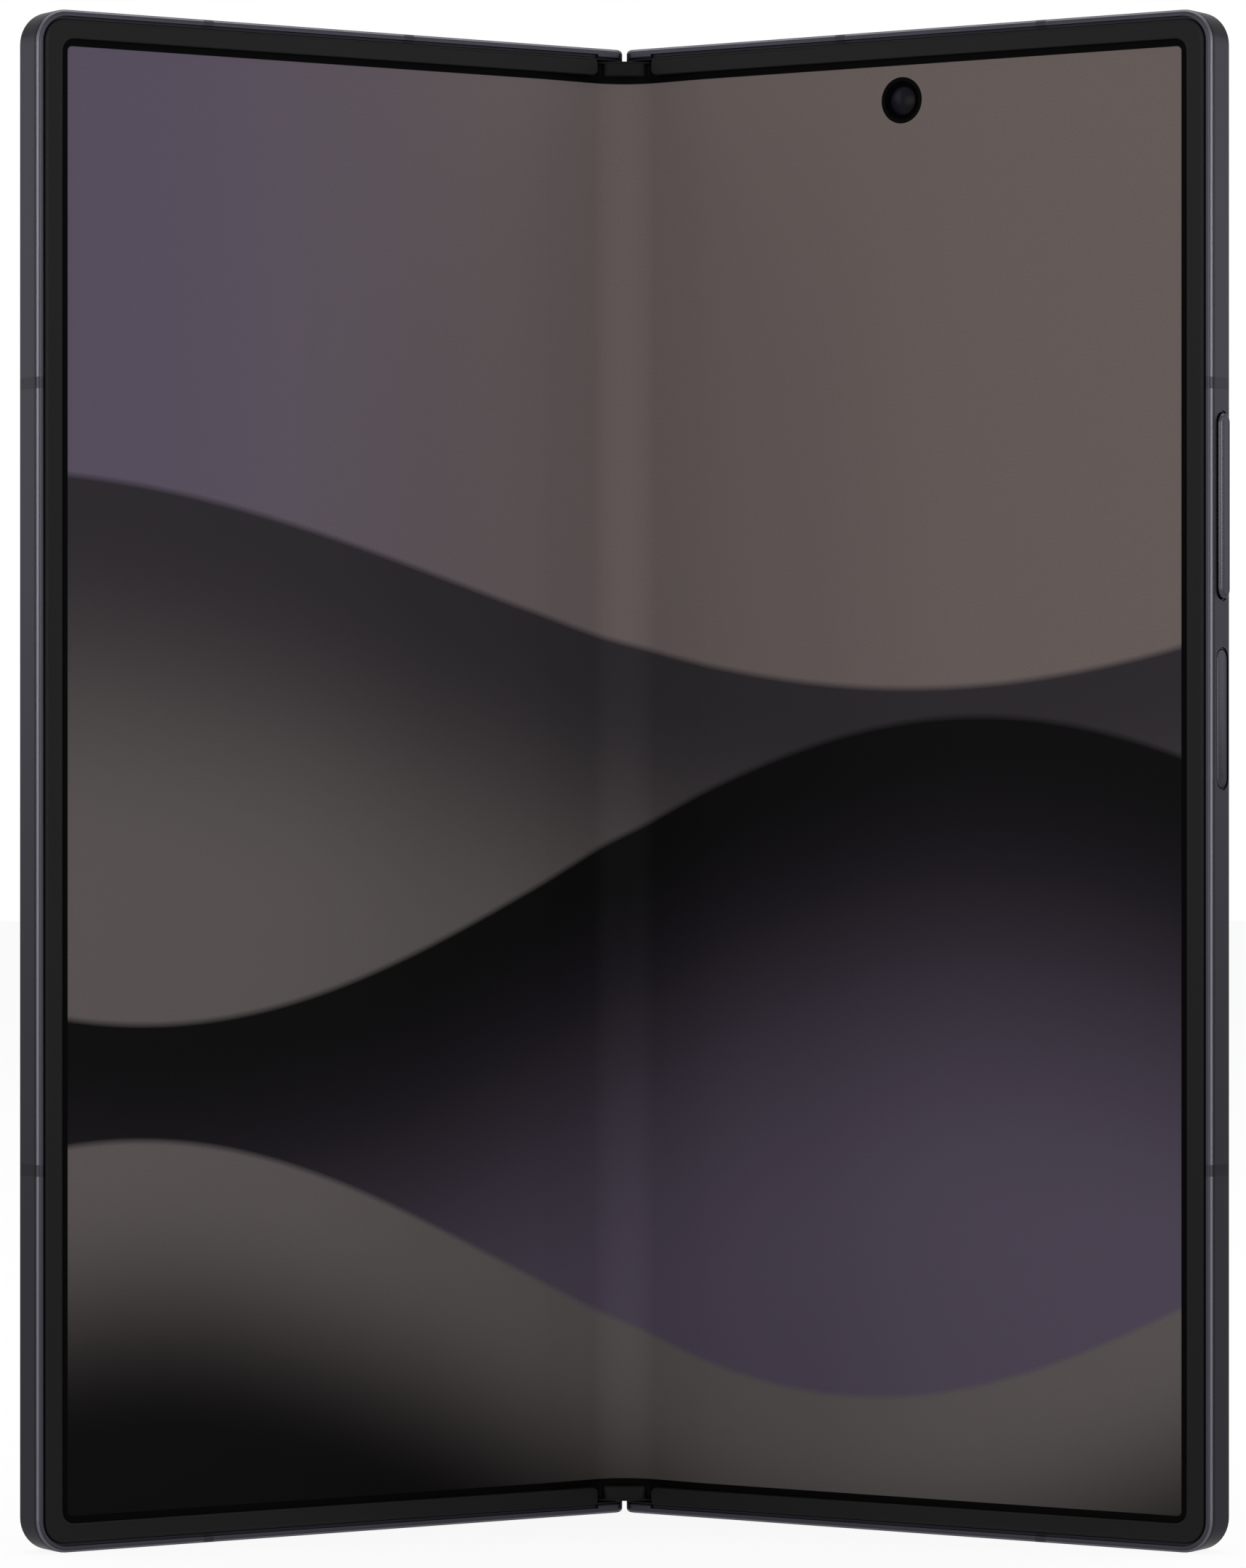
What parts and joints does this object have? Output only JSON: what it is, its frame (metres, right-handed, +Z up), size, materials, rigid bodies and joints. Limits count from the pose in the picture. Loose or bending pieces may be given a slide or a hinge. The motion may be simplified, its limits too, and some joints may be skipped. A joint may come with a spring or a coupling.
{
  "type": "foldable smartphone",
  "caption": "Thin book-style folding phone, half open, with a wide inner display across a narrow geared hinge, a cover display, rear lenses, side keys and card tray.",
  "frame": {"origin": "on the ground, in the middle of the outline as stored, half open at 115 degrees", "axes": "+Z up along the hinge, -Y out of the inner display towards the viewer, +X to the viewer's right"},
  "size_m": [0.1245, 0.0418, 0.1584],
  "materials": {
    "frame_metal": "anodised, blue-grey",
    "band_plastic": "satin",
    "trim_plastic": "satin",
    "inner_screen": "glossy display film",
    "cover_screen": "polished",
    "screen_stack": "smooth",
    "spine_metal": "anodised",
    "hinge_steel": "fine ground",
    "guard_plastic": "satin",
    "back_panel": "etched matt glass",
    "island_metal": "anodised",
    "ring_metal": "polished bevel",
    "lens_glass": "coated",
    "camera_black": "satin",
    "flash_plastic": "clear",
    "battery_wrap": "film",
    "board_green": "solder mask",
    "shield_steel": "tinned",
    "coil_copper": "wound wire",
    "speaker_plastic": "moulded",
    "key_metal": "anodised",
    "socket_steel": "plated",
    "contact_gold": "plated"
  },
  "bodies": {
    "spine": {"hinge_cover": "spine_metal", "hinge_end_blocks": "hinge_steel", "top_hinge_guard": "guard_plastic", "bottom_hinge_guard": "guard_plastic", "shaft_carriers": "hinge_steel", "friction_clips": "hinge_steel", "fold_display": "inner_screen"},
    "left_half": {"left_frame": "frame_metal", "left_antenna_bands": "band_plastic", "left_bezel_trim": "trim_plastic", "left_display_panel": "inner_screen", "left_hinge_pins": "hinge_steel", "left_wing_pins": "hinge_steel", "left_battery": "battery_wrap", "sub_board": "board_green", "cover_display_panel": "screen_stack", "cover_glass": "cover_screen", "cover_camera": "camera_black", "earpiece_speaker": "speaker_plastic", "vibration_motor": "shield_steel", "left_magnets": "shield_steel", "left_screws": "hinge_steel"},
    "right_half": {"right_frame": "frame_metal", "right_antenna_bands": "band_plastic", "right_bezel_trim": "trim_plastic", "right_display_panel": "inner_screen", "right_hinge_pins": "hinge_steel", "right_wing_pins": "hinge_steel", "right_battery": "battery_wrap", "main_board": "board_green", "shield_cans": "shield_steel", "charging_coil": "coil_copper", "back_glass": "back_panel", "inner_camera": "camera_black", "camera_island": "island_metal", "camera_rings": "ring_metal", "camera_lenses": "lens_glass", "rear_camera_modules": "camera_black", "flash_lens": "flash_plastic", "usb_socket": "socket_steel", "usb_board": "board_green", "loudspeaker": "speaker_plastic", "sim_cage": "shield_steel", "key_switches": "contact_gold", "right_magnets": "shield_steel", "right_screws": "hinge_steel"},
    "left_wing": {"left_wing_plate": "hinge_steel"},
    "right_wing": {"right_wing_plate": "hinge_steel"},
    "left_idler": {"left_idler_shaft": "hinge_steel"},
    "right_idler": {"right_idler_shaft": "hinge_steel"},
    "volume_key": {"volume_key": "key_metal"},
    "side_key": {"side_key": "key_metal"},
    "sim_tray": {"sim_tray": "frame_metal"}
  },
  "joints": [
    {"name": "left_fold", "type": "hinge", "parent": "spine", "child": "left_half", "pos_m": [-0.00125, 0.01756, 0.0792], "axis": [0, 0, 1], "range_deg": [-32.5, 57.5], "deforming": ["fold_display"]},
    {"name": "right_fold", "type": "hinge", "parent": "spine", "child": "right_half", "pos_m": [0.00125, 0.01756, 0.0792], "axis": [0, 0, -1], "range_deg": [-32.5, 57.5], "deforming": ["fold_display"]},
    {"name": "left_idler_turn", "type": "hinge", "parent": "spine", "child": "left_idler", "pos_m": [-0.00072, 0.01864, 0.0792], "axis": [0, 0, 1], "range_deg": [-39, 22]},
    {"name": "right_idler_turn", "type": "hinge", "parent": "spine", "child": "right_idler", "pos_m": [0.00072, 0.01864, 0.0792], "axis": [0, 0, 1], "range_deg": [-22, 39]},
    {"name": "left_wing_tilt", "type": "hinge", "parent": "left_half", "child": "left_wing", "pos_m": [-0.00914, 0.01283, 0.0792], "axis": [0, 0, 1], "range_deg": [-4.7, 8.31], "deforming": ["fold_display"]},
    {"name": "right_wing_tilt", "type": "hinge", "parent": "right_half", "child": "right_wing", "pos_m": [0.00914, 0.01283, 0.0792], "axis": [0, 0, -1], "range_deg": [-4.7, 8.31], "deforming": ["fold_display"]},
    {"name": "volume_key_press", "type": "slide", "parent": "right_half", "child": "volume_key", "axis": [-0.8434, 0.5373, 0], "range_m": [0, 0.00025], "stiffness_N_per_m": 2000, "springref_m": -0.0003},
    {"name": "side_key_press", "type": "slide", "parent": "right_half", "child": "side_key", "axis": [-0.8434, 0.5373, 0], "range_m": [0, 0.0002], "stiffness_N_per_m": 2000, "springref_m": -0.0003},
    {"name": "sim_tray_slide", "type": "slide", "parent": "right_half", "child": "sim_tray", "axis": [0, 0, -1], "range_m": [0, 0.026]}
  ],
  "couplings": [
    {"joint": "right_fold", "follows": "left_fold", "ratio": 1},
    {"joint": "left_idler_turn", "follows": "left_fold", "ratio": -0.66667},
    {"joint": "right_idler_turn", "follows": "left_fold", "ratio": 0.66667},
    {"joint": "left_wing_tilt", "follows": "left_fold", "ratio": 0.14444},
    {"joint": "right_wing_tilt", "follows": "left_fold", "ratio": 0.14444}
  ]
}
